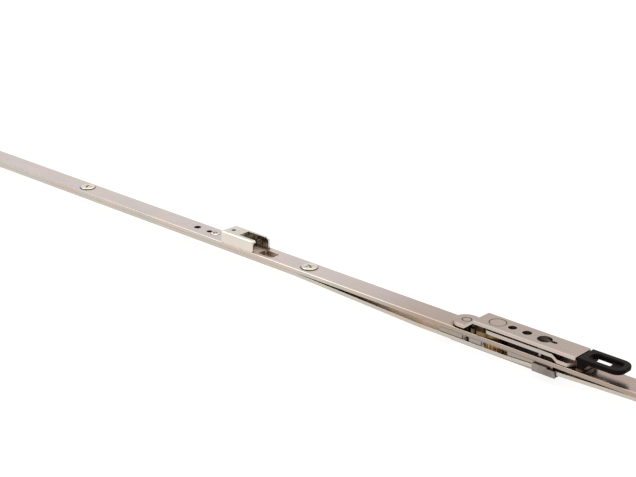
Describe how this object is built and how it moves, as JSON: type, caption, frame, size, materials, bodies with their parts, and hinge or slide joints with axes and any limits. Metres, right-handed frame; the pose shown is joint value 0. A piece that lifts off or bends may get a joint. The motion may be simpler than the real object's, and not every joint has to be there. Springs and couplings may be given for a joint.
{
  "type": "shootbolt lock",
  "caption": "Flat sash lock whose hinged lever turns a pinion between two racked rails and so draws in a round bolt at each end of a long faceplate.",
  "frame": {"origin": "where the lever's axis meets the faceplate's visible face", "axes": "+X along the faceplate towards its short end, the way the parked lever points; +Y across it, away from the camera in the picture; +Z outward from the visible face"},
  "size_m": [0.782, 0.0186, 0.0215],
  "materials": {
    "zinc_steel": "satin bright zinc plating",
    "bright_steel": "bright nickel plating",
    "yellow_zinc": "yellow passivated zinc",
    "die_cast_zinc": "dull die-cast grey",
    "black_grip": "fine-grained black"
  },
  "bodies": {
    "frame": {"faceplate": "zinc_steel", "bridge_plate": "zinc_steel", "foot_rivet": "zinc_steel", "stop_pin": "yellow_zinc", "gear_case": "zinc_steel", "case_cross_pin": "yellow_zinc", "bottom_plate": "zinc_steel", "case_rivets": "zinc_steel", "guide_clip": "die_cast_zinc", "keep_bracket": "zinc_steel", "keep_rivets": "zinc_steel", "guide_studs": "bright_steel", "stud_washers": "bright_steel", "strip_rivet": "zinc_steel", "end_guide_left": "die_cast_zinc", "end_guide_right": "die_cast_zinc"},
    "lever": {"lever_plate": "zinc_steel", "lever_grip": "black_grip", "grip_rivet": "zinc_steel", "pivot_shaft": "zinc_steel", "lever_cam": "yellow_zinc", "pinion": "yellow_zinc"},
    "left_drive": {"left_rail": "zinc_steel", "shootbolt_left": "zinc_steel", "bolt_rivet_left": "zinc_steel"},
    "right_drive": {"right_rail": "zinc_steel", "shootbolt_right": "zinc_steel", "bolt_rivet_right": "zinc_steel"}
  },
  "joints": [
    {"name": "lever_turn", "type": "hinge", "parent": "frame", "child": "lever", "pos_m": [0, 0, 0], "axis": [0, 0, 1], "range_deg": [0, 110]},
    {"name": "left_rail_slide", "type": "slide", "parent": "frame", "child": "left_drive", "axis": [1, 0, 0], "range_m": [0, 0.01076]},
    {"name": "right_rail_slide", "type": "slide", "parent": "frame", "child": "right_drive", "axis": [-1, 0, 0], "range_m": [0, 0.01076]}
  ],
  "couplings": [
    {"joint": "left_rail_slide", "follows": "lever_turn", "m_per_rad": 0.0056},
    {"joint": "right_rail_slide", "follows": "lever_turn", "m_per_rad": 0.0056}
  ]
}
